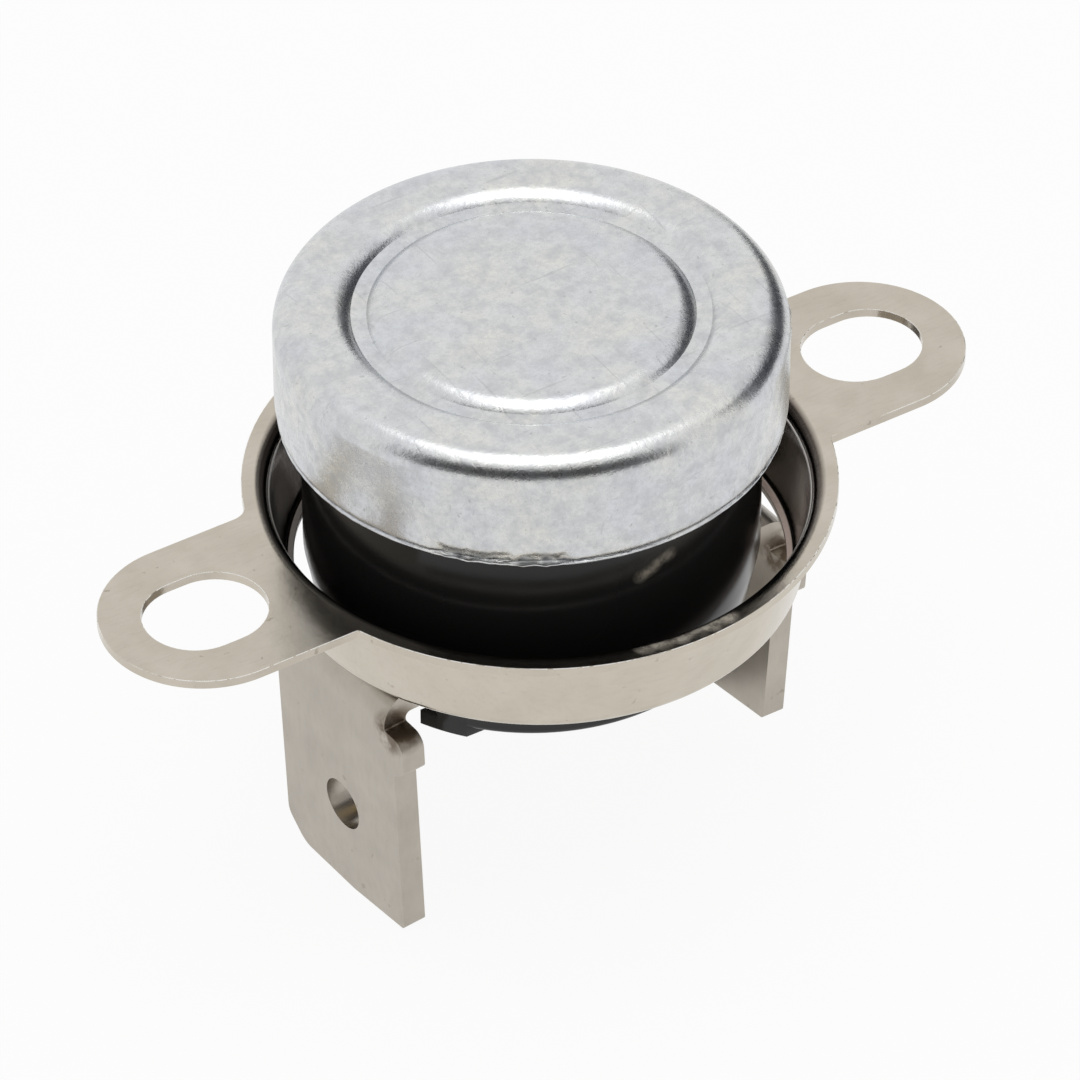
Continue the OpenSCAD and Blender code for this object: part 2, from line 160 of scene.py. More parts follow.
to_camera = Vector((
    math.sin(CAMERA_AZIMUTH) * math.cos(CAMERA_ELEVATION),
    -math.cos(CAMERA_AZIMUTH) * math.cos(CAMERA_ELEVATION),
    math.sin(CAMERA_ELEVATION),
))
bpy.ops.object.camera_add(location=CAMERA_AIM + CAMERA_DISTANCE * to_camera)
camera = bpy.context.object
camera.name = "camera"
camera.rotation_euler = to_camera.to_track_quat("Z", "Y").to_euler()
camera.data.sensor_width = SENSOR_MM
camera.data.lens = LENS_MM
camera.data.clip_start = 0.02
camera.data.clip_end = 20
bpy.context.scene.camera = camera
bpy.context.scene.view_settings.view_transform = "Standard"
print("camera at", [round(v, 4) for v in camera.location])

# %% [markdown]
# ## Tools for drawing sheet and turned parts
# Almost everything here is either turned round one axis or cut from sheet. Both start as a
# line. A plane is merged into one vertex, and that vertex is extruded from point to point.
# A turned part is then spun, and a sheet is filled and gets its thickness from a modifier.
# Sizes of the pieces are in mm, and the tools turn them into metres.

# %% Points of an arc
def arc(x, y, r, start, end, steps):
    """Points, in mm, on an arc round (x, y) from one angle to another, in degrees."""
    angles = [math.radians(start + (end - start) * i / steps) for i in range(steps + 1)]
    return [(x + r * math.cos(a), y + r * math.sin(a)) for a in angles]


print("a quarter arc:", [(round(x, 2), round(y, 2)) for x, y in arc(0, 0, 1, 0, 90, 2)])

# %% A new piece
def new_piece(name):
    """An empty mesh object at the origin, in edit mode, with nothing else selected."""
    if bpy.context.object and bpy.context.object.mode != "OBJECT":
        bpy.ops.object.mode_set(mode="OBJECT")
    bpy.ops.object.select_all(action="DESELECT")
    bpy.ops.mesh.primitive_plane_add(size=MM, location=(0, 0, 0))
    piece = bpy.context.object
    piece.name = piece.data.name = name
    bpy.ops.object.mode_set(mode="EDIT")
    bpy.ops.mesh.select_mode(type="VERT")
    bpy.ops.mesh.select_all(action="SELECT")
    bpy.ops.mesh.delete(type="VERT")
    return piece


print("tool: new_piece")

# %% A drawn line
def draw(points, closed=False):
    """Draws a line through the points, in mm, by extruding one vertex along them."""
    points = [Vector(p) for p in points] + ([Vector(points[0])] if closed else [])
    bpy.ops.mesh.primitive_plane_add(size=MM, location=(0, 0, 0))
    bpy.ops.mesh.merge(type="CENTER")
    bpy.ops.transform.translate(value=points[0] * MM)
    for here, there in zip(points, points[1:]):
        bpy.ops.mesh.extrude_vertices_move(
            TRANSFORM_OT_translate={"value": (there - here) * MM}
        )


print("tool: draw")

# %% A choice by place, and welding
def pick(kind, test):
    """Selects the verts, edges or faces whose middle, in mm, passes the test."""
    mode = {"verts": "VERT", "edges": "EDGE", "faces": "FACE"}[kind]
    bpy.ops.mesh.select_all(action="DESELECT")
    bpy.ops.mesh.select_mode(type=mode)
    shape = bmesh.from_edit_mesh(bpy.context.object.data)
    count = 0
    for item in getattr(shape, kind):
        corners = [item] if kind == "verts" else item.verts
        middle = sum((v.co for v in corners), Vector()) / len(corners) / MM
        if test(middle):
            item.select_set(True)
            count += 1
    shape.select_flush_mode()
    bmesh.update_edit_mesh(bpy.context.object.data)
    return count


def weld(outwards=True):
    """Merges what lies on the same spot, and turns the faces of a closed shape outwards."""
    bpy.ops.mesh.select_all(action="SELECT")
    bpy.ops.mesh.remove_doubles(threshold=0.0002 * MM)
    if outwards:
        bpy.ops.mesh.normals_make_consistent(inside=False)


print("tools: pick, weld")

# %% Spin and modifiers
def turn_round(profile, steps):
    """Draws a profile of (radius, height) in mm and spins it once round the Z axis."""
    draw([(r, 0, z) for r, z in profile])
    bpy.ops.mesh.select_all(action="SELECT")
    bpy.ops.mesh.spin(steps=steps, angle=math.tau, center=(0, 0, 0), axis=(0, 0, 1))
    weld()


def finish_with(piece, kind, **settings):
    """Adds a modifier with these settings to a piece and applies it."""
    modifier = piece.modifiers.new(kind.title(), kind)
    for key, value in settings.items():
        setattr(modifier, key, value)
    bpy.context.view_layer.objects.active = piece
    bpy.ops.object.modifier_apply(modifier=modifier.name)


print("tools: turn_round, finish_with")

# %% The finished piece
def select_only(piece):
    """Selects one piece and makes it the active one, with nothing else selected."""
    bpy.ops.object.select_all(action="DESELECT")
    piece.select_set(True)
    bpy.context.view_layer.objects.active = piece


def done(piece, smooth_angle=40):
    """Leaves edit mode, shades the piece and says how big it is."""
    if piece.mode != "OBJECT":
        bpy.ops.object.mode_set(mode="OBJECT")
    select_only(piece)
    bpy.ops.object.shade_smooth_by_angle(angle=math.radians(smooth_angle))
    size = [round(v / MM, 2) for v in piece.dimensions]
    print(piece.name, len(piece.data.polygons), "faces,", size, "mm")


print("tools: select_only, done")

# %% [markdown]
# ## Where the housing stands
# The bracket hangs loosely round the housing, so in the picture the housing isn't quite in
# its middle. Cap, housing and blades are built round their own axis, and one step places
# them all.

# %% The housing's place in the bracket
HOUSING_SHIFT = (-0.24, 0.1)
HOUSING_TURN = 3


def apply_place():
    """Applies the place, turn and size of what is selected to its mesh."""
    bpy.ops.object.transform_apply(location=True, rotation=True, scale=True)


def place_in_bracket(piece):
    """Moves a piece from the housing's own axis to its place, and applies the move."""
    piece.location = (HOUSING_SHIFT[0] * MM, HOUSING_SHIFT[1] * MM, 0)
    piece.rotation_euler = (0, 0, math.radians(HOUSING_TURN))
    select_only(piece)
    apply_place()


def in_bracket(place):
    """Where a point of the housing's own axes comes to lie, in mm."""
    turned = Matrix.Rotation(math.radians(HOUSING_TURN), 3, "Z") @ Vector(place)
    return turned + Vector((*HOUSING_SHIFT, 0))


print("housing shifted by", HOUSING_SHIFT, "mm and turned by", HOUSING_TURN, "degrees")

# %% [markdown]
# ## The cap
# The real cap is drawn from soft aluminium, with a ring groove pressed into its face, and
# its rim is rolled under the housing's flange. Its section is one line from the middle of
# the face to the lip and back inside. Spinning that line gives the wall its thickness at
# once, which keeps the small radii exact. The rolled rim is uneven on the real one, so its
# vertices are pushed in and out a little afterwards.

# %% The cap's section
CAP_R, CAP_TOP, CAP_BOTTOM, CAP_WALL, CAP_EDGE_R, LIP_R = 7.86, 6.7, 2.8, 0.4, 0.8, 7.18
GROOVE_IN, GROOVE_OUT, GROOVE_DEPTH, SHOULDER_R = 5.0, 5.48, 0.28, 0.85
GROOVE_FLOOR, GROOVE_UNDER, INNER_R = 6.41, 6.02, 0.1
FACE_STEP, WALL_TOP, WALL_STEP = 0.3, 5.75, 0.15
ROLLED_RIM = [(7.855, 3.38), (7.85, 3.28), (7.84, 3.18), (7.82, 3.09), (7.785, 3.02),
              (7.755, 2.975), (7.745, 2.95), (7.76, 2.93), (7.785, 2.915), (7.79, 2.885),
              (7.775, 2.85), (7.74, 2.82), (7.68, CAP_BOTTOM)]

shoulder_run = math.sqrt(SHOULDER_R**2 - (SHOULDER_R - GROOVE_DEPTH) ** 2)
shoulder_end = math.degrees(math.acos((SHOULDER_R - GROOVE_DEPTH) / SHOULDER_R))
cap_line = [(FACE_STEP * i, CAP_TOP) for i in range(15)]
cap_line += arc(GROOVE_IN - shoulder_run, CAP_TOP - SHOULDER_R, SHOULDER_R,
                90, 90 - shoulder_end, 14)
cap_line += [(5.12, GROOVE_FLOOR + 0.002), (5.24, GROOVE_FLOOR), (5.36, GROOVE_FLOOR + 0.002)]
cap_line += arc(GROOVE_OUT + shoulder_run, CAP_TOP - SHOULDER_R, SHOULDER_R,
                90 + shoulder_end, 90, 14)
cap_line += [(6.4, CAP_TOP), (6.75, CAP_TOP)]
cap_line += arc(CAP_R - CAP_EDGE_R, CAP_TOP - CAP_EDGE_R, CAP_EDGE_R, 90, 0, 22)
cap_line += [(CAP_R, WALL_TOP - WALL_STEP * i) for i in range(16)] + ROLLED_RIM
cap_line += [(LIP_R, CAP_BOTTOM), (LIP_R, CAP_BOTTOM + CAP_WALL)]
cap_line += arc(CAP_R - CAP_WALL - INNER_R, CAP_BOTTOM + CAP_WALL + INNER_R, INNER_R, -90, 0, 3)
cap_line += arc(CAP_R - CAP_EDGE_R, CAP_TOP - CAP_EDGE_R, CAP_EDGE_R - CAP_WALL, 0, 90, 6)
cap_line += [(GROOVE_OUT + 0.25, CAP_TOP - CAP_WALL), (GROOVE_OUT + 0.2, GROOVE_UNDER),
             (GROOVE_IN - 0.2, GROOVE_UNDER), (GROOVE_IN - 0.25, CAP_TOP - CAP_WALL),
             (0, CAP_TOP - CAP_WALL)]
print("the cap's section has", len(cap_line), "points")

# %% Spin the cap
RAW_EDGE_R, RAW_EDGE_Z = 7.6, 2.94

cap = new_piece("sensing_cap")
turn_round(cap_line, 288)
edge_count = pick("verts", lambda m: m.xy.length > RAW_EDGE_R and m.z < RAW_EDGE_Z)
print(edge_count, "vertices at the raw edge")

# %% Pushing at the soft metal
GRIP = 0.12


def push(place, reach, move):
    """Moves the vertices near a place, all in mm, and their neighbours with them."""
    place = Vector(place)
    found = pick("verts", lambda m: (m - place).length < GRIP)
    if found:
        bpy.ops.transform.translate(
            value=Vector(move) * MM, use_proportional_edit=True,
            proportional_edit_falloff="SMOOTH", proportional_size=reach * MM,
            use_proportional_connected=True,
        )
    bpy.context.scene.tool_settings.use_proportional_edit = False
    return found


def on_cap(angle, z, r=CAP_R):
    """A point on the cap's wall at an angle in degrees, before the cap is placed."""
    a = math.radians(angle)
    return Vector((r * math.cos(a), r * math.sin(a), z))


def push_wall(angle, z, depth, reach):
    """Pushes the cap's wall in, or out with a negative depth."""
    return push(on_cap(angle, z), reach, -on_cap(angle, 0, 1) * depth)


print("tools: push, on_cap, push_wall")

# %% Small dents low on the wall, then longer waves higher up
moved = 0
for _ in range(40):
    moved += push_wall(random.uniform(0, 360), 3.5, random.uniform(-0.01, 0.035),
                       random.uniform(0.5, 1.2))
for _ in range(16):
    moved += push_wall(random.uniform(0, 360), random.uniform(4.1, 5.6),
                       random.uniform(-0.006, 0.016), random.uniform(0.9, 1.9))
print("vertices pushed in the wall:", moved)

# %% The crimped flat in front and the bruise on the right
CRIMP_ANGLES = range(-146, -116, 3)
BRUISE = [(-29, 5.5, -0.10), (-27, 4.9, -0.16), (-28, 4.4, -0.10), (-24, 5.2, 0.06),
          (-34, 5.0, 0.05), (-26, 3.9, 0.06)]
BRUISE_REACH = 0.5

for angle in CRIMP_ANGLES:
    push_wall(angle, 3.08, 0.10, 0.32)
    push_wall(angle, 2.88, -0.05, 0.22)
for angle, z, depth in BRUISE:
    push_wall(angle, z, depth, BRUISE_REACH)
print("crimp:", len(CRIMP_ANGLES), "places; bruise:", len(BRUISE))

# %% The serrated raw edge
TOOTH_ANGLE, TOOTH_SHARE, TOOTH_H = 1.25, 0.0022, 0.014

bpy.ops.mesh.select_all(action="DESELECT")
rim = bmesh.from_edit_mesh(cap.data)
teeth = {}
for vertex in rim.verts:
    r, z = vertex.co.xy.length / MM, vertex.co.z / MM
    if r > RAW_EDGE_R and z < RAW_EDGE_Z:
        step = round(math.degrees(math.atan2(vertex.co.y, vertex.co.x)) / TOOTH_ANGLE)
        tooth = teeth.setdefault(step, random.uniform(-1, 1))
        vertex.co.xy *= 1 + TOOTH_SHARE * tooth
        vertex.co.z += TOOTH_H * tooth * MM if z > CAP_BOTTOM + 0.01 else 0
bmesh.update_edit_mesh(cap.data)
print(len(teeth), "teeth on the raw edge")

# %% The cap in its place
done(cap, 32)
place_in_bracket(cap)
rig.ride(cap, "housing_group")
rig.replaces(cap, "cap")
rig.slot(cap, "cap_aluminium")

# %% [markdown]
# ## The mounting bracket
# The bracket is pressed from one strip of steel: two flat ears with slots, and a dish
# between them whose floor is only a narrow lip. The flat outline is drawn and filled round
# a circle just outside the bend. From that circle the sheet is extruded to the bend and
# down, ring by ring, as the press draws it. The narrow flat ring keeps the ears' shading
# flat up to the bend, and a small ledge below it is the press's mark. Solidify gives the
# sheet its thickness, and a small bevel rounds the cut edges so that they catch the light.

# %% The sizes of the flat sheet
SLOT_X, SLOT_W, SLOT_LEN = 12.0, 3.34, 3.94
EAR_HALF, FAR_FILLET_R, NEAR_FILLET_R = 3.27, 0.6, 0.12
BEND_X, RIM_W = 8.877, 0.32
RIM_R, FLAT_END = BEND_X + RIM_W, BEND_X + 0.05
print("rim radius", round(RIM_R, 3), "mm, bend centred at", BEND_X, "mm")

# %% The flat outline of ears and rim
def quarter_outline(fillet_r):
    """The outline, in mm, from the ear's tip to the middle of the rim."""
    fillet_y = EAR_HALF + fillet_r
    fillet_x = math.sqrt((RIM_R + fillet_r) ** 2 - fillet_y**2)
    angle = math.degrees(math.atan2(fillet_y, fillet_x))
    run = SLOT_X - fillet_x
    side = [(SLOT_X - run * i / 4, EAR_HALF) for i in (1, 2, 3)]
    return (arc(SLOT_X, 0, EAR_HALF, 0, 90, 28) + side
            + arc(fillet_x, fillet_y, fillet_r, 270, 180 + angle, 6)
            + arc(0, 0, RIM_R, angle, 90, 42)[1:])


far, near = quarter_outline(FAR_FILLET_R), quarter_outline(NEAR_FILLET_R)
outline = (far + [(-x, y) for x, y in reversed(far[:-1])]
           + [(-x, -y) for x, y in near[1:]]
           + [(x, -y) for x, y in reversed(near[1:-1])])
slot_run = (SLOT_LEN - SLOT_W) / 2


def slot_outline(side):
    """The outline of the slot in the ear on one side, in mm."""
    x = side * SLOT_X
    return (arc(x + slot_run, 0, SLOT_W / 2, -90, 90, 28)
            + arc(x - slot_run, 0, SLOT_W / 2, 90, 270, 28))


print("outline:", len(outline), "points; each slot:", len(slot_outline(1)))

# %% Draw and fill the sheet
RING_STEPS = 256

bracket = new_piece("loose_mounting_bracket")
draw([(x, y, 0) for x, y in outline], closed=True)
for side in (1, -1):
    draw([(x, y, 0) for x, y in slot_outline(side)], closed=True)
bpy.ops.mesh.primitive_circle_add(vertices=RING_STEPS, radius=FLAT_END * MM,
                                  location=(0, 0, 0))
weld(outwards=False)
bpy.ops.mesh.fill(use_beauty=True)
print("faces in the flat sheet:", len(bmesh.from_edit_mesh(bracket.data).faces))

# %% The dish's section
SHEET_T, TOP_BEND_R, DRAFT, LEDGE = 0.3, 0.5, 10, (-0.05, -0.012)
DISH_BOTTOM, HOLE_R, LIP_BEND_R, LIP_DROP, LIP_RUN = -3.32, 7.63, 0.12, 8, 0.3

draft, drop = math.radians(DRAFT), math.radians(LIP_DROP)
dish_line = arc(BEND_X, -TOP_BEND_R, TOP_BEND_R, 90, 180 - DRAFT, 12)
bend_end = Vector(dish_line[-1])
wall_top = bend_end + Vector(LEDGE)
outer_r = LIP_BEND_R + SHEET_T
lip_z = DISH_BOTTOM + outer_r * math.cos(drop) + LIP_RUN * math.sin(drop)
foot_z = lip_z - LIP_BEND_R * math.sin(draft)
wall_foot = Vector((wall_top.x - (wall_top.y - foot_z) * math.tan(draft), foot_z))
lip_bend = arc(wall_foot.x - LIP_BEND_R * math.cos(draft), lip_z, LIP_BEND_R,
               -DRAFT, LIP_DROP - 90, 7)
lip_w = (lip_bend[-1][0] - HOLE_R) / math.cos(drop)
lip_end = Vector(lip_bend[-1]) - lip_w * Vector((math.cos(drop), math.sin(drop)))
dish_line += [tuple(wall_top.lerp(wall_foot, i / 5)) for i in range(5)]
dish_line += lip_bend + [tuple(lip_end)]
print("the lip is", round(lip_w, 3), "mm wide, its wall ends at", round(wall_foot.x, 3))

# %% Draw the dish down from its circle
pick("edges", lambda m: abs(m.xy.length - FLAT_END) < 0.004)
radius, height = FLAT_END, 0.0
for r, z in dish_line:
    bpy.ops.mesh.extrude_edges_move(
        TRANSFORM_OT_translate={"value": (0, 0, (z - height) * MM)}
    )
    bpy.ops.transform.resize(
        value=(r / radius, r / radius, 1), center_override=(0, 0, 0)
    )
    radius, height = r, z
print("the dish has", len(dish_line), "rings, down to z", round(height, 2), "mm")

# %% Thickness and soft cut edges
CUT_EDGE_R = 0.075

bpy.ops.mesh.select_all(action="SELECT")
bpy.ops.mesh.normals_make_consistent(inside=False)
sheet = bmesh.from_edit_mesh(bracket.data)
sheet.faces.ensure_lookup_table()
if max(sheet.faces, key=lambda f: f.calc_center_median().xy.length).normal.z < 0:
    bpy.ops.mesh.flip_normals()
bpy.ops.object.mode_set(mode="OBJECT")
finish_with(bracket, "SOLIDIFY", thickness=SHEET_T * MM, offset=-1, use_even_offset=True)
finish_with(bracket, "BEVEL", width=CUT_EDGE_R * MM, segments=3, limit_method="ANGLE",
            angle_limit=math.radians(50))
done(bracket, 14)
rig.ride(bracket, "bracket")
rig.replaces(bracket, "mounting_bracket")
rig.slot(bracket, "bracket_steel")

# %% [markdown]
# ## The housing
# The housing is moulded from black phenolic resin. Its outside and the chamber inside are
# one closed line that is spun. The channels for the two shanks and the rivet holes are then
# cut with booleans, and the two bars at the foot are added, because those shapes cross the
# round ones.

# %% The housing's section
NECK_R, FLANGE_R, FOOT_R = 7.08, 7.41, 6.6
FOOT_Z, NECK_FOOT_Z, FLANGE_Z, HOUSING_TOP = -4.85, -2.1, 3.25, 6.25
FLOOR_Z, CHAMBER_R, CHAMBER_TOP, SEAT_R = -2.1, 5.6, 4.15, 6.5
CHAMFER, TAPER_STEP, FOOT_CORNER_R = 0.5, 0.85, 0.2

housing_line = [(0, FLOOR_Z), (CHAMBER_R, FLOOR_Z), (CHAMBER_R, CHAMBER_TOP),
                (SEAT_R, CHAMBER_TOP), (SEAT_R, HOUSING_TOP),
                (FLANGE_R - CHAMFER, HOUSING_TOP), (FLANGE_R, HOUSING_TOP - CHAMFER),
                (FLANGE_R, FLANGE_Z), (NECK_R, FLANGE_Z), (NECK_R, 1.6), (NECK_R, 0),
                (NECK_R, NECK_FOOT_Z)]
housing_line += [(NECK_R + (FOOT_R - NECK_R) * i / 3, NECK_FOOT_Z - TAPER_STEP * i)
                 for i in (1, 2)]
housing_line += arc(FOOT_R - FOOT_CORNER_R, FOOT_Z + FOOT_CORNER_R, FOOT_CORNER_R, 8, -90, 4)
housing_line += [(0, FOOT_Z)]
housing = new_piece("moulded_housing")
turn_round(housing_line, 192)
done(housing)

# %% Blocks and a drill for cutting and adding
RIVET_X, RIVET_HOLE_R, RIVET_HOLE_LEN = 3.6, 0.85, 4


def block(low, high):
    """A box between two corners, in mm, with its place in its mesh."""
    low, high = Vector(low), Vector(high)
    bpy.ops.object.select_all(action="DESELECT")
    bpy.ops.mesh.primitive_cube_add(size=1, location=(low + high) / 2 * MM)
    cube = bpy.context.object
    cube.scale = (high - low) * MM
    apply_place()
    return cube


def combine(piece, tool, operation):
    """Cuts, joins or meets a piece with a tool, and removes the tool."""
    finish_with(piece, "BOOLEAN", object=tool, operation=operation, solver="EXACT")
    bpy.data.objects.remove(tool, do_unlink=True)


def drill(piece, side, z):
    """Drills the rivet's hole on one side, with its middle at a height in mm."""
    bpy.ops.mesh.primitive_cylinder_add(
        vertices=48, radius=RIVET_HOLE_R * MM, depth=RIVET_HOLE_LEN * MM,
        location=(side * RIVET_X * MM, 0, z * MM))
    bit = bpy.context.object
    apply_place()
    combine(piece, bit, "DIFFERENCE")


print("tools: block, combine, drill")

# %% Cut the channels and drill the rivet holes
SHANK_Z, BARRIER_HALF, CHANNEL_HALF, BEYOND_R, BEYOND_Z = -3.35, 1.5, 3.15, 9, -6

for side in (1, -1):
    inner, outer = sorted((side * BARRIER_HALF, side * BEYOND_R))
    combine(housing, block((inner, -CHANNEL_HALF, BEYOND_Z), (outer, CHANNEL_HALF, SHANK_Z)),
            "DIFFERENCE")
for side in (1, -1):
    drill(housing, side, FLOOR_Z - 0.6)
print("housing after the cuts:", len(housing.data.polygons), "faces")

# %% The bars at the foot
BAR_LOW, BAR_HIGH, BAR_H, BAR_SINK, BAR_REACH = 3.05, 4.34, 0.3, 0.25, 8
BAR_TURN, BAR_EDGE_R = -4.3, 0.24

for side in (1, -1):
    low, high = sorted((side * BAR_LOW, side * BAR_HIGH))
    bar = block((-BAR_REACH, low, FOOT_Z - BAR_H), (BAR_REACH, high, FOOT_Z + BAR_SINK))
    bar.rotation_euler = (0, 0, math.radians(BAR_TURN))
    apply_place()
    bpy.ops.mesh.primitive_cylinder_add(vertices=192, radius=FOOT_R * MM, depth=2 * MM,
                                        location=(0, 0, FOOT_Z * MM))
    combine(bar, bpy.context.object, "INTERSECT")
    finish_with(bar, "BEVEL", width=BAR_EDGE_R * MM, segments=4, limit_method="ANGLE",
                angle_limit=math.radians(40))
    combine(housing, bar, "UNION")
done(housing, 35)
place_in_bracket(housing)
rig.ride(housing, "housing_group")
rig.replaces(housing, "housing")
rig.slot(housing, "housing_phenolic")

# %% [markdown]
# ## The two blades
# Each terminal is a push-on tab 6.3 mm wide and 0.8 mm thick, with shoulders, a detent
# hole and a bent shank under the housing. The far one is shorter, and was bent a little
# further out. The outer face is drawn flat and filled. The edge at its neck is then spun a
# quarter turn round the bend's axis and extruded inwards, so the sheet stays one piece.
# Solidify and Bevel make it sheet metal with rounded edges. The near one is made in the same
# place and mirrored before it gets its thickness.

# %% Where the blades lean
SHANK_TOP = SHANK_Z
BLADES = {  # sizes in mm and degrees, by the CAD node that each blade stands for
    "strip_terminal": {"name": "strip_side_blade", "side": 1, "bend_x": 7.0, "bend_r": 0.9,
                       "lean": 3.7, "tip_z": -11.25},
    "arm_terminal": {"name": "arm_side_blade", "side": -1, "bend_x": 6.6, "bend_r": 1.0,
                     "lean": 2.5, "tip_z": -12.85},
}


def face_x(z, bend_x, bend_r, lean):
    """Where the leaning outer face of a blade is at a height, in mm."""
    lean = math.radians(lean)
    return bend_x + (bend_r + (z - SHANK_TOP + bend_r) * math.sin(lean)) / math.cos(lean)


for b in BLADES.values():
    print(b["name"], "outer face at the tip: x",
          round(face_x(b["tip_z"], b["bend_x"], b["bend_r"], b["lean"]), 2), "mm")

# %% Rounded corners
def rounded(corners, steps=8):
    """The outline through corners of (y, z, radius), each rounded by its radius."""
    line = []
    for i, (y, z, r) in enumerate(corners):
        here = Vector((y, z))
        before = (Vector(corners[i - 1][:2]) - here).normalized()
        after = (Vector(corners[(i + 1) % len(corners)][:2]) - here).normalized()
        if not r:
            line.append(tuple(here))
            continue
        half = before.angle(after) / 2
        first, last = here + before * r / math.tan(half), here + after * r / math.tan(half)
        middle = here + (before + after).normalized() * r / math.sin(half)
        for k in range(steps + 1):
            spot = first.lerp(last, k / steps) - middle
            line.append(tuple(middle + spot.normalized() * r))
    return line


print("a square with round corners:", len(rounded([(0, 0, 1), (4, 0, 1), (4, 4, 1), (0, 4, 1)])),
      "points")

# %% The blade's outline
BLADE_HALF, BLADE_OFF, SHANK_HALF = 3.15, -0.13, 2.75
SHOULDER_TOP, SHOULDER_LOW, SHOULDER_HALF, SHOULDER_FALL = -4.5, -6.12, 3.68, 0.42


def blade_outline(neck_z, tip_z):
    """The blade's outline of (y, z) in mm, from its neck round its tip and back."""
    shoulder = [
        (-SHANK_HALF, neck_z, 0), (-SHANK_HALF, SHOULDER_TOP, 0.06),
        (-SHOULDER_HALF, SHOULDER_TOP, 0.45),
        (-SHOULDER_HALF, SHOULDER_LOW + SHOULDER_FALL, 0.25), (-BLADE_HALF, SHOULDER_LOW, 0.2),
    ]
    tip = [(-BLADE_HALF, tip_z + 0.3, 0.12), (-0.4, tip_z, 2.5),
           (BLADE_HALF - 0.85, tip_z, 0.9), (BLADE_HALF, tip_z + 0.8, 0.6)]
    other_shoulder = [(-y, z, r) for y, z, r in reversed(shoulder)]
    return [(y + BLADE_OFF, z) for y, z in rounded(shoulder + tip + other_shoulder)]


arm_tip_z = BLADES["arm_terminal"]["tip_z"]
print("the blade's outline has", len(blade_outline(SHOULDER_TOP + 0.1, arm_tip_z)), "points")

# %% Draw the blade, then bend the shank
SHANK_END, DETENT_R, DETENT_Y, DETENT_ABOVE_TIP = 1.65, 0.875, -0.2, 3.37


def make_blade(name, side, bend_x, bend_r, lean, tip_z):
    """One terminal round the housing's axis, still without thickness."""
    blade = new_piece(name)
    bend_z = SHANK_TOP - bend_r
    neck_z = bend_z - bend_r * math.sin(math.radians(lean))
    face = (bend_x, bend_r, lean)
    draw([(face_x(z, *face), y, z) for y, z in blade_outline(neck_z, tip_z)], closed=True)
    detent = arc(DETENT_Y, tip_z + DETENT_ABOVE_TIP, DETENT_R, 0, 360, 40)[:-1]
    draw([(face_x(z, *face), y, z) for y, z in detent], closed=True)
    weld(outwards=False)
    bpy.ops.mesh.fill(use_beauty=True)
    pick("edges", lambda m: abs(m.z - neck_z) < 0.001)
    bpy.ops.mesh.spin(steps=14, angle=math.radians(lean + 90), axis=(0, 1, 0),
                      center=Vector((bend_x, 0, bend_z)) * MM)
    pick("edges", lambda m: abs(m.x - bend_x) < 0.001 and abs(m.z - SHANK_TOP) < 0.001)
    bpy.ops.mesh.extrude_edges_move(
        TRANSFORM_OT_translate={"value": ((SHANK_END - bend_x) * MM, 0, 0)}
    )
    bpy.ops.mesh.select_all(action="SELECT")
    bpy.ops.transform.resize(value=(side, 1, 1), center_override=(0, 0, 0))
    weld()
    shape = bmesh.from_edit_mesh(blade.data)
    if min(shape.faces, key=lambda f: f.calc_center_median().z).normal.x * side < 0:
        bpy.ops.mesh.flip_normals()
    return blade


print("tool: make_blade")

# %% Thickness, rivet hole and edges
BLADE_T, BLADE_EDGE_R = 0.8, 0.16


def thicken_blade(blade, side):
    """Gives the sheet its thickness, drills it for the rivet and rounds its edges."""
    bpy.ops.object.mode_set(mode="OBJECT")
    finish_with(blade, "SOLIDIFY", thickness=BLADE_T * MM, offset=-1, use_even_offset=True)
    drill(blade, side, SHANK_TOP - 0.35)
    select_only(blade)
    bpy.ops.object.shade_smooth_by_angle(angle=math.radians(40))
    finish_with(blade, "BEVEL", width=BLADE_EDGE_R * MM, segments=6, limit_method="ANGLE",
                angle_limit=math.radians(50), harden_normals=True)
    place_in_bracket(blade)
    print(blade.name, len(blade.data.polygons), "faces")


print("tool: thicken_blade")

# %% The two blades in their places
blades = []
for node, sizes in BLADES.items():
    blade = make_blade(**sizes)
    thicken_blade(blade, sizes["side"])
    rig.ride(blade, "housing_group")
    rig.replaces(blade, node)
    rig.slot(blade, "terminal_plated")
    blades.append(blade)
    low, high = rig.box(node)
    print(node, "CAD box", [round(v / MM, 2) for v in (*low, *high)])

# %% [markdown]
# ## Finishes
# A finish is a node tree on the principled shader. Writing it as sums keeps it readable, so
# one small class stands for a socket and turns Python's operators into Math nodes. All
# patterns read the object's own coordinates, in metres, and their scales are given per
# millimetre.

# %% A socket that can be calculated with
class Wire:
    """An output socket of a node tree; + - * / on it add Math nodes."""

    def __init__(self, finish, socket):
        self.finish, self.socket = finish, socket

    def _math(self, operation, first, second):
        return self.finish.node("ShaderNodeMath", {"operation": operation},
                                {0: first, 1: second})

    def __add__(self, other):
        return self._math("ADD", self, other)

    def __sub__(self, other):
        return self._math("SUBTRACT", self, other)

    def __rsub__(self, other):
        return self._math("SUBTRACT", other, self)

    def __mul__(self, other):
        return self._math("MULTIPLY", self, other)

    def __truediv__(self, other):
        return self._math("DIVIDE", self, other)

    __radd__, __rmul__ = __add__, __mul__


print("a Wire stands for one output socket")

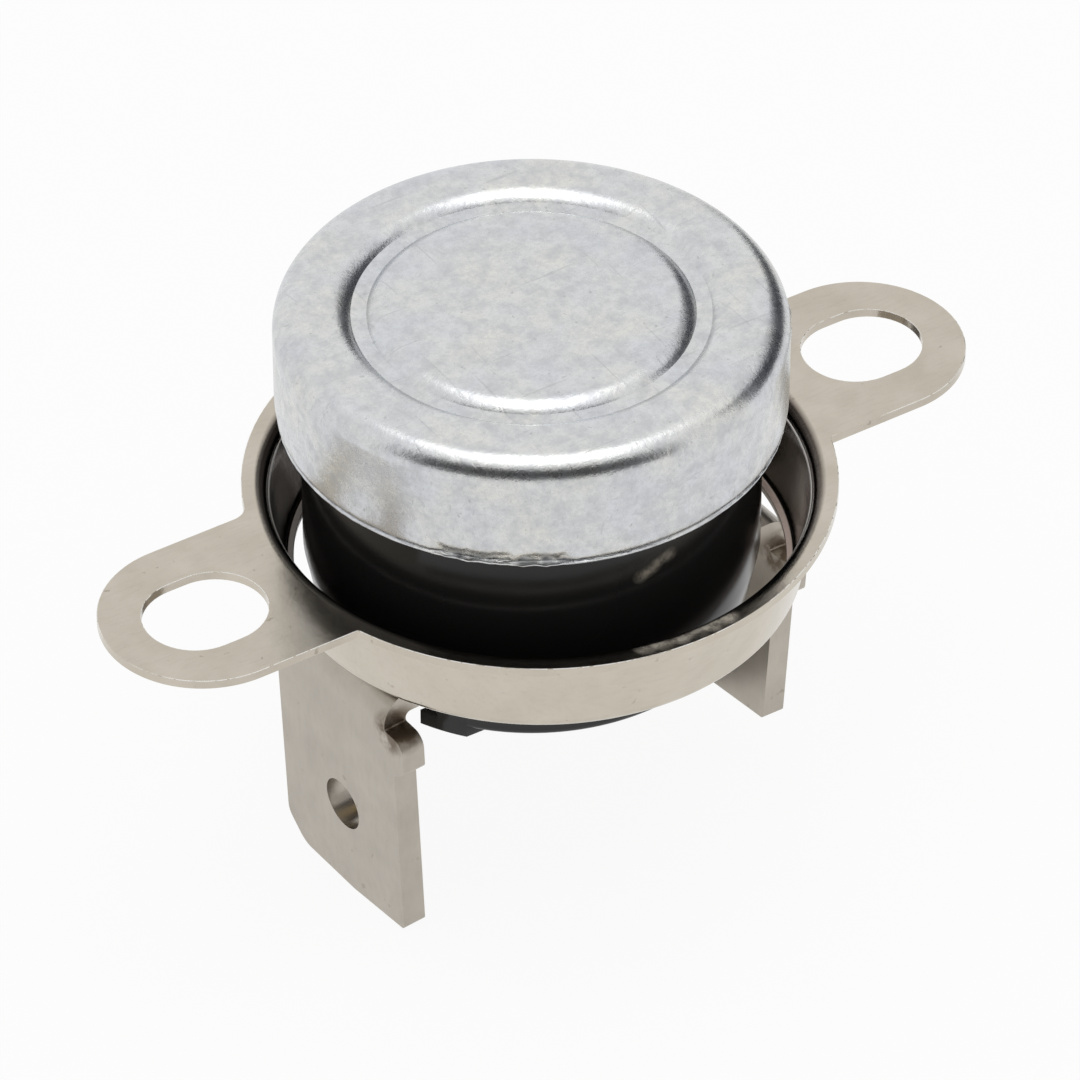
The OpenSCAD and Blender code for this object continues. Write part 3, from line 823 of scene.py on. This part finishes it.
# %% A node tree
class Nodes:
    """A node tree with one method that adds any node."""

    def __init__(self, owner):
        owner.use_nodes = True
        self.tree = owner.node_tree

    def node(self, kind, settings=None, inputs=None, out=0):
        """Adds a node, sets it up, fills or links its inputs and returns one output."""
        node = self.tree.nodes.new(kind)
        for key, value in (settings or {}).items():
            setattr(node, key, value)
        for key, value in (inputs or {}).items():
            if isinstance(value, Wire):
                self.tree.links.new(value.socket, node.inputs[key])
            else:
                node.inputs[key].default_value = value
        return Wire(self, node.outputs[out]) if node.outputs else None


print("Nodes adds nodes to a tree")

# %% A finish
class Finish(Nodes):
    """A material on the principled shader, with helpers for its patterns."""

    def __init__(self, name, **constants):
        self.material = bpy.data.materials.new(name)
        super().__init__(self.material)
        self.shader = self.tree.nodes["Principled BSDF"]
        for key, value in constants.items():
            self.shader.inputs[key.replace("_", " ").title().replace("Ior", "IOR")
                               ].default_value = value
        self.place = self.node("ShaderNodeTexCoord", out="Object")

    def noise(self, per_mm, detail=3, roughness=0.5, stretch=(1, 1, 1), turn=0, warp=0):
        """Noise with so many features per mm, stretched along an axis if asked."""
        place = self.node("ShaderNodeMapping", inputs={
            "Vector": self.place, "Scale": stretch, "Rotation": (0, 0, math.radians(turn))})
        return self.node("ShaderNodeTexNoise", inputs={
            "Vector": place, "Scale": per_mm / MM, "Detail": detail,
            "Roughness": roughness, "Distortion": warp}, out="Fac")

    def steps(self, value, low, high):
        """Stretches the part of a value between low and high to 0 to 1."""
        return self.node("ShaderNodeMapRange", {"clamp": True}, {
            "Value": value, "From Min": low, "From Max": high})

    def blend(self, mask, first, second):
        """A colour between two colours, by a mask."""
        return self.node("ShaderNodeMix", {"data_type": "RGBA"}, {
            0: mask, 6: first if isinstance(first, Wire) else (*first, 1),
            7: second if isinstance(second, Wire) else (*second, 1)}, out=2)

    def near(self, place, reach, soft):
        """1 within this reach of a place in mm, fading to 0 over the soft part."""
        away = self.node("ShaderNodeVectorMath", {"operation": "DISTANCE"}, {
            0: self.place, 1: Vector(place) * MM}, out="Value")
        return self.steps(away / MM, reach + soft, reach)

    def set(self, **links):
        """Links values that vary over the surface to the shader."""
        for key, value in links.items():
            self.tree.links.new(value.socket, self.shader.inputs[key.replace("_", " ").title()])

    def bump(self, height, depth_mm, under=None):
        """A bump of this depth, on top of another one if given."""
        inputs = {"Height": height, "Strength": 1.0, "Distance": depth_mm * MM}
        if under is not None:
            inputs["Normal"] = under
        return self.node("ShaderNodeBump", inputs=inputs)

    def paint(self, *pieces):
        """Puts this finish on pieces or CAD nodes."""
        for piece in pieces:
            if not piece.data.materials:
                piece.data.materials.append(self.material)
            for slot in piece.material_slots:
                slot.material = self.material


print("a Finish is one material")

# %% [markdown]
# ### Aluminium of the cap
# Soft drawn aluminium is bright but not a mirror. Its skin is finely mottled from drawing
# and tumbling, with small pits, scratches in all directions and slow waves. Two mottles of
# different size change colour and roughness a little, and bumps of different size break up
# the reflections. A painted shade darkens the recess of the crimp at the front.

# %% Cap finish
COOL, WARM, MOTTLED = (0.63, 0.645, 0.675), (0.69, 0.695, 0.665), (0.50, 0.51, 0.53)
CRUSTED, PITTED, CRIMP_SHADE = (0.47, 0.48, 0.495), (0.33, 0.34, 0.35), (0.05, 0.045, 0.04)

aluminium = Finish("drawn_aluminium", metallic=1.0)
cloud = aluminium.noise(0.5, 3, 0.55)
mottle = aluminium.noise(1.9, 6, 0.72)
crust = aluminium.noise(6.5, 3, 0.6, warp=0.6)
grain = aluminium.noise(12.0, 3, 0.7)
waves = aluminium.noise(0.45, 2, 0.5)
pits = aluminium.steps(aluminium.noise(4.0, 2, 0.5), 0.70, 0.75)
hairs = aluminium.steps(
    aluminium.noise(2.2, 2, 0.5, stretch=(0.12, 2.6, 1), turn=38), 0.68, 0.72)
hairs_2 = aluminium.steps(
    aluminium.noise(2.4, 2, 0.5, stretch=(2.8, 0.1, 1), turn=-20), 0.68, 0.72)
tone = aluminium.blend(aluminium.steps(cloud, 0.35, 0.65), COOL, WARM)
tone = aluminium.blend(aluminium.steps(mottle, 0.42, 0.66) * 0.8, tone, MOTTLED)
tone = aluminium.blend(aluminium.steps(crust, 0.45, 0.68) * 0.32, tone, CRUSTED)
tone = aluminium.blend(pits * 0.45 + hairs * 0.25 + hairs_2 * 0.25, tone, PITTED)
# A painted shade in the recess of the crimp at the front: dark patches along the rolled rim, broken up by noise.
CRIMP_SHADE_PLACES = [in_bracket(on_cap(-142 + 2.75 * i, 2.97 + 0.02 * i, 7.8)) for i in range(9)]
crimp_shade = sum(aluminium.near(place, 0.03, 0.12) for place in CRIMP_SHADE_PLACES)
crimp_shade = crimp_shade * aluminium.steps(aluminium.noise(0.8, 2, 0.5), 0.28, 0.5)
tone = aluminium.blend(crimp_shade * 0.85, tone, CRIMP_SHADE)
aluminium.set(
    base_color=tone,
    roughness=0.19 + aluminium.steps(mottle, 0.3, 0.7) * 0.10 + cloud * 0.06,
    normal=aluminium.bump(
        hairs + hairs_2 + pits, -0.0015,
        aluminium.bump(grain, 0.003, aluminium.bump(
            crust, 0.006, aluminium.bump(mottle, 0.010, aluminium.bump(waves, 0.02))))),
)
aluminium.paint(cap)
print("finish:", aluminium.material.name)

# %% [markdown]
# ### Nickel on steel
# Bracket and blades are plated. Nickel is warmer than aluminium, a little yellow-grey, and
# satin rather than bright. Rolling marks and small specks show on it. Masks made of the
# place on the piece add painted light and shade to the bracket, and a stain to the blades.
# The inside of the dish is painted dark and its lip dark to brown, as painted shade, its
# lower outer edge gets painted shade too, and its outward faces are painted a little lighter
# as a painted sheen. Painted highlights sit along the press mark and on the bend in front,
# the cut edges carry painted glints in short dashes, and a brown stain sits in the notches
# of the blades.

# %% Nickel finish
def nickel_finish(name, rolled_along, roughness, dark, light):
    """Satin nickel with faint rolling lines; returns finish, base colour and roughness."""
    nickel = Finish(name)
    lines = nickel.noise(5.0, 4, 0.6, stretch=rolled_along)
    cloud = nickel.noise(0.6, 3, 0.55)
    grain = nickel.noise(10.0, 4, 0.7)
    specks = nickel.steps(nickel.noise(2.6, 2, 0.5), 0.70, 0.74)
    tone = nickel.blend(nickel.steps(cloud, 0.3, 0.7), dark, light)
    tone = nickel.blend(specks * 0.5 + nickel.steps(lines, 0.5, 0.8) * 0.15, tone,
                        (0.27, 0.23, 0.18))
    nickel.set(normal=nickel.bump(grain, 0.0025, nickel.bump(
        lines, 0.0015, nickel.bump(cloud, 0.012))))
    return nickel, tone, roughness + lines * 0.08 + cloud * 0.05


bracket_nickel, bracket_tone, bracket_roughness = nickel_finish(
    "bracket_nickel", (0.3, 1.6, 1), 0.11, (0.49, 0.445, 0.375), (0.56, 0.51, 0.44))
blade_nickel, blade_tone, blade_roughness = nickel_finish(
    "blade_nickel", (1, 1, 0.3), 0.26, (0.41, 0.375, 0.325), (0.475, 0.435, 0.38))
print("nickel on", bracket_nickel.material.name, "and", blade_nickel.material.name)

# %% Where the bracket's masks lie
bn = bracket_nickel
flat = bn.node("ShaderNodeVectorMath", {"operation": "MULTIPLY"},
               {0: bn.place, 1: (1 / MM, 1 / MM, 0)})
from_axis = bn.node("ShaderNodeVectorMath", {"operation": "LENGTH"}, {0: flat}, out="Value")
depth = bn.node("ShaderNodeSeparateXYZ", inputs={0: bn.place}, out="Z") / MM
upward = bn.node("ShaderNodeSeparateXYZ", inputs={
    0: bn.node("ShaderNodeTexCoord", out="Normal")}, out="Z")
outward = bn.node("ShaderNodeVectorMath", {"operation": "DOT_PRODUCT"}, {
    0: bn.node("ShaderNodeTexCoord", out="Normal"),
    1: bn.node("ShaderNodeVectorMath", {"operation": "NORMALIZE"}, {0: flat})}, out="Value")
inside = bn.steps(outward, -0.12, -0.5) * bn.steps(from_axis, 8.95, 8.85)
outside = bn.steps(outward, 0.3, 0.8)
lip = bn.steps(from_axis, 8.1, 8.02) * bn.steps(depth, -2.7, -2.8) * bn.steps(outward, 0.4, 0.2)
lengthwise = bn.node("ShaderNodeSeparateXYZ", inputs={0: bn.place}, out="X") / MM
print("masks of the bracket: inside and outside of the dish, and its lip")

# %% Painted shade in the dish, painted highlights on its edges
PRESS_HIGHLIGHT_Z, BEND_HIGHLIGHT_R = -0.44, 8.58
DISH_INSIDE_SHADE, DISH_OUTSIDE_SHEEN = (0.12, 0.10, 0.086), (0.635, 0.585, 0.495)
LIP_SHADE_DARK, LIP_SHADE_BROWN, LOW_EDGE_SHADE = (0.085, 0.078, 0.072), (0.30, 0.24, 0.21), (0.26, 0.22, 0.16)
PRESS_HIGHLIGHT_TONE, BEND_HIGHLIGHT_TONE, EDGE_GLINT_TONE = (0.72, 0.70, 0.68), (0.80, 0.73, 0.62), (0.95, 0.93, 0.89)
BEND_HIGHLIGHT_PLACES = [(-1.75, -8.53, -0.12), (-1.2, -8.62, -0.10), (-0.6, -8.69, -0.08),
          (0.0, -8.73, -0.07), (0.55, -8.74, -0.06), (1.1, -8.70, -0.05)]

patches = bn.noise(0.35, 2, 0.5)
# A painted highlight: a thin light, less metallic line round the inside of the dish along the press mark.
press_highlight = bn.node("ShaderNodeMath", {"operation": "ABSOLUTE"}, {0: depth - PRESS_HIGHLIGHT_Z})
press_highlight = bn.steps(press_highlight, 0.045, 0.02) * inside * bn.steps(patches, 0.3, 0.5)
# Painted shade: the outer faces grow darker towards the dish's bottom edge, in patches.
low_edge_shade = (bn.steps(depth, -2.85, -3.3) * (1 - inside) * (1 - lip)
            * bn.steps(bn.noise(1.1, 3, 0.6), 0.4, 0.6))
# Painted sheen: faces turned away from the axis are painted a little lighter, as the lit floor in front shows in them.
bracket_tone = bn.blend(outside * 0.3, bracket_tone, DISH_OUTSIDE_SHEEN)
# Painted shade on the lip of the dish: dark on the left, brown towards the right.
lip_shade = bn.blend(bn.steps(lengthwise, -3, 3), LIP_SHADE_DARK, LIP_SHADE_BROWN)
bracket_tone = bn.blend(lip, bracket_tone, lip_shade)
# Painted shade: the inside of the dish is painted almost black, as it looks when it reflects the shaded floor and
# housing.
bracket_tone = bn.blend(inside, bracket_tone, DISH_INSIDE_SHADE)
bracket_tone = bn.blend(low_edge_shade * 0.5, bracket_tone, LOW_EDGE_SHADE)
bracket_tone = bn.blend(press_highlight, bracket_tone, PRESS_HIGHLIGHT_TONE)
# Painted glints: the outer cut edges are painted near-white and dull in short dashes.
glint_dashes = bn.steps(bn.noise(4.0, 2, 0.5), 0.38, 0.46) * bn.steps(patches, 0.36, 0.5)
glinting = (bn.steps(upward, 0.99, 0.965) * bn.steps(upward, 0.1, 0.24)
        * bn.steps(from_axis, 8.98, 9.08) * glint_dashes)
# A painted highlight: a light, less metallic patch on the bend of the dish in front.
painted_highlight = sum(bn.near(place, 0.12, 0.34) for place in BEND_HIGHLIGHT_PLACES)
painted_highlight = (painted_highlight * bn.steps(bn.noise(1.6, 3, 0.6), 0.28, 0.60)
         * bn.steps(from_axis, BEND_HIGHLIGHT_R, BEND_HIGHLIGHT_R + 0.16) * 0.85)
bn.set(base_color=bn.blend(glinting, bn.blend(painted_highlight, bracket_tone, BEND_HIGHLIGHT_TONE), EDGE_GLINT_TONE),
       metallic=1 - glinting - press_highlight * 0.7 - painted_highlight * 0.8,
       roughness=bracket_roughness + glinting * 0.2 + painted_highlight * 0.2)
bn.paint(bracket)
# Its dark inside is painted shade, and the bright dashes on its edges are painted glints.
print("the bracket's nickel is stained inside and worn on its edges")

# %% Stain in the blades' notches
NOTCH_X, NOTCH_Y, NOTCH_Z = (-7.2, 7.5), (-3.05, 2.8), -4.55

stain = sum(blade_nickel.near(in_bracket((x, y, NOTCH_Z)), 0.55, 0.35)
            for x in NOTCH_X for y in NOTCH_Y)
stain = stain * blade_nickel.steps(blade_nickel.noise(1.6, 3, 0.6), 0.35, 0.55)
blade_nickel.set(base_color=blade_nickel.blend(stain * 0.85, blade_tone, (0.13, 0.09, 0.055)),
                 roughness=blade_roughness + stain * 0.15)
blade_nickel.shader.inputs["Metallic"].default_value = 1.0
blade_nickel.paint(*blades)
print("the blades' nickel is stained in the notches")

# %% [markdown]
# ### Black phenolic and the pieces inside
# The housing is almost black with a soft gloss, one painted highlight streak and a speck. The pieces
# inside keep their CAD shape and only get finishes.

# %% Housing finish
HIGHLIGHT_STREAK = [(-0.85, -6.95, 1.22), (-0.6, -6.97, 1.32), (-0.35, -6.98, 1.42),
          (-0.1, -6.98, 1.52), (0.15, -6.97, 1.62)]
SPECK = (-3.93, -5.85, 0.07)

phenolic = Finish("black_phenolic", ior=1.5, specular_ior_level=0.3)
flow = phenolic.noise(0.8, 4, 0.6)
dust = phenolic.steps(phenolic.noise(4.0, 2, 0.5), 0.76, 0.79)
# A painted highlight streak on the housing's neck in front, tan and duller; the speck beside it is dust and shares its
# colour.
painted_highlight = sum(phenolic.near(place, 0.04, 0.28) for place in HIGHLIGHT_STREAK)
painted_highlight = painted_highlight * phenolic.steps(phenolic.noise(1.8, 3, 0.6), 0.30, 0.70)
speck = phenolic.near(SPECK, 0.02, 0.05)
black = phenolic.blend(dust * 0.3, (0.0115, 0.0112, 0.0108), (0.06, 0.055, 0.05))
phenolic.set(
    base_color=phenolic.blend(painted_highlight * 0.55 + speck * 0.7, black, (0.46, 0.41, 0.33)),
    roughness=0.13 + flow * 0.08 + painted_highlight * 0.3,
    normal=phenolic.bump(phenolic.noise(6.0, 3, 0.6), 0.001,
                         phenolic.bump(phenolic.noise(0.3, 1, 0.5), 0.03)),
)
phenolic.paint(housing)
print("finish:", phenolic.material.name)

# %% Inner finishes
INNER_PER_MM = 3
INNER = {  # two tones, metallic, roughness and the CAD nodes
    "bimetal": ((0.42, 0.38, 0.33), (0.52, 0.48, 0.42), 1.0, 0.25, ["bimetal_disc"]),
    "guide_phenolic": ((0.05, 0.032, 0.022), (0.09, 0.06, 0.04), 0.0, 0.4, ["pin_guide"]),
    "ceramic": ((0.74, 0.71, 0.66), (0.82, 0.80, 0.76), 0.0, 0.35, ["transfer_pin"]),
    "spring_bronze": ((0.62, 0.36, 0.17), (0.72, 0.45, 0.24), 1.0, 0.25, ["contact_arm"]),
    "silver": ((0.80, 0.78, 0.74), (0.88, 0.86, 0.83), 1.0, 0.2,
               ["moving_contact", "fixed_contact"]),
    "strip_brass": ((0.66, 0.48, 0.20), (0.78, 0.58, 0.28), 1.0, 0.25,
                    ["fixed_contact_strip"]),
    "rivet_brass": ((0.62, 0.46, 0.20), (0.74, 0.56, 0.28), 1.0, 0.28,
                    ["arm_rivet", "strip_rivet"]),
}

for name, (dark, light, metallic, roughness, parts) in INNER.items():
    inner = Finish(name, metallic=metallic)
    cloud = inner.noise(INNER_PER_MM, 4, 0.6)
    inner.set(base_color=inner.blend(cloud, dark, light), roughness=roughness + cloud * 0.15,
              normal=inner.bump(inner.noise(INNER_PER_MM * 3, 3, 0.6), 0.003))
    inner.paint(*(frame["nodes"][part] for part in parts))
print("inner pieces finished")

# %% [markdown]
# ## Studio
# The object stands on a white floor in a white room, under one large soft lamp with a small
# brighter one in front of it, which puts the thin bright lines on the rounded aluminium.
# Metal shows its surroundings, so dark cards stand where the room is dark, behind the
# photographer and on the right, and two lie on the floor in the object's shade. They show
# only in reflections.

# %% Floor
FLOOR_GLOW, FLOOR_R = 0.92, 3


def seen_directly(nodes):
    """1 for the rays that come from the camera, from a reflection or through glass."""
    camera_ray, glossy_ray, transmission_ray = (
        nodes.node("ShaderNodeLightPath", out=kind)
        for kind in ("Is Camera Ray", "Is Glossy Ray", "Is Transmission Ray"))
    return camera_ray + glossy_ray + transmission_ray


bpy.ops.object.select_all(action="DESELECT")
bpy.ops.mesh.primitive_circle_add(vertices=96, radius=FLOOR_R, fill_type="NGON",
                                  location=(0, 0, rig.bounds()[0][2]))
floor = bpy.context.object
floor.name = "floor"
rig.stage(floor)
white_floor = bpy.data.materials.new("white_floor")
floor.data.materials.append(white_floor)
paint = Nodes(white_floor)
paint.tree.nodes.clear()
paint.node("ShaderNodeOutputMaterial", inputs={"Surface": paint.node(
    "ShaderNodeMixShader", inputs={
        0: seen_directly(paint) * FLOOR_GLOW,
        1: paint.node("ShaderNodeBsdfDiffuse", inputs={"Color": (0.9, 0.9, 0.9, 1)}),
        2: paint.node("ShaderNodeEmission", inputs={"Color": (1, 1, 1, 1), "Strength": 1.0}),
    })})
print("floor at z", round(floor.location.z / MM, 2), "mm")

# %% World
ROOM_LIGHT = 0.6

world = bpy.data.worlds.new("white_room")
bpy.context.scene.world = world
air = Nodes(world)
air.tree.nodes.clear()
air.node("ShaderNodeOutputWorld", inputs={"Surface": air.node("ShaderNodeBackground", inputs={
    "Color": (1, 1, 1, 1),
    "Strength": seen_directly(air) * (1 - ROOM_LIGHT) + ROOM_LIGHT})})
print("world: white where it is seen,", ROOM_LIGHT, "as light")

# %% Lamps
def soft_lamp(name, place, aim, size, radiance):
    """A square lamp of this size, in metres, with a given brightness of its face."""
    bpy.ops.object.light_add(type="AREA", location=place)
    lamp = bpy.context.object
    lamp.name = name
    lamp.rotation_euler = (Vector(place) - Vector(aim)).to_track_quat("Z", "Y").to_euler()
    lamp.data.size = size
    lamp.data.energy = radiance * math.pi * size**2


soft_lamp("overhead_softbox", (-0.01, -0.02, 0.5), (0, 0, 0), 0.38, 1.15)
soft_lamp("small_softbox", (-0.01, -0.03, 0.48), (0, 0, 0), 0.12, 2.4)
print("lamps:", [o.name for o in bpy.data.objects if o.type == "LIGHT"])

# %% Dark cards behind the photographer and on the right
def card_paint(name, shade):
    """A dull material for a card."""
    card = bpy.data.materials.new(name)
    card.use_nodes = True
    card.node_tree.nodes["Principled BSDF"].inputs["Base Color"].default_value = (*shade, 1)
    card.node_tree.nodes["Principled BSDF"].inputs["Roughness"].default_value = 1.0
    return card


def dark_card(name, start, end, low, high, radius, shade):
    """A curved card between two directions from +X and two elevations, in degrees."""
    piece = new_piece(name)
    heights = [radius * math.tan(math.radians(e)) / MM for e in (low, high)]
    draw([(radius / MM, 0, heights[0]), (radius / MM, 0, heights[1])])
    bpy.ops.mesh.select_all(action="SELECT")
    bpy.ops.transform.rotate(value=-math.radians(start), orient_axis="Z",
                             center_override=(0, 0, 0))
    bpy.ops.mesh.spin(steps=32, angle=math.radians(end - start), center=(0, 0, 0),
                      axis=(0, 0, -1))
    bpy.ops.object.mode_set(mode="OBJECT")
    piece.data.materials.append(card_paint(name, shade))
    piece.visible_camera = piece.visible_diffuse = piece.visible_shadow = False
    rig.stage(piece)


dark_card("card_behind_camera", -176, -66, 2, 46, radius=0.6, shade=(0.06, 0.06, 0.065))
dark_card("card_right", -8, 41, -8, 35, radius=0.62, shade=(0.05, 0.055, 0.07))
dark_card("card_far_right", -24, -8, -8, 40, radius=0.62, shade=(0.05, 0.055, 0.07))
print("three cards stand round the object")

# %% Cards on the floor
CARD_LIFT = 0.04


def floor_card(name, place, radius, shade):
    """A round card on the floor, in mm; it stands for the shade under and behind the object."""
    bpy.ops.object.select_all(action="DESELECT")
    bpy.ops.mesh.primitive_circle_add(
        vertices=64, radius=radius * MM, fill_type="NGON",
        location=(place[0] * MM, place[1] * MM, floor.location.z + CARD_LIFT * MM))
    card = bpy.context.object
    card.name = name
    card.data.materials.append(card_paint(name, shade))
    card.visible_camera = card.visible_diffuse = card.visible_shadow = False
    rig.stage(card)


floor_card("card_behind_object", (8, 13), 6, (0.14, 0.13, 0.12))
floor_card("card_under_object", (1.5, 5.2), 5, (0.47, 0.44, 0.40))
print("cards:", [o.name for o in bpy.data.objects if o.name.startswith("card")])

# %% Sizes and the end
with open("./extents.json", "w") as out:
    json.dump({"cad": cad_box, "visual": [list(corner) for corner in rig.bounds()]}, out)
print(open("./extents.json").read())
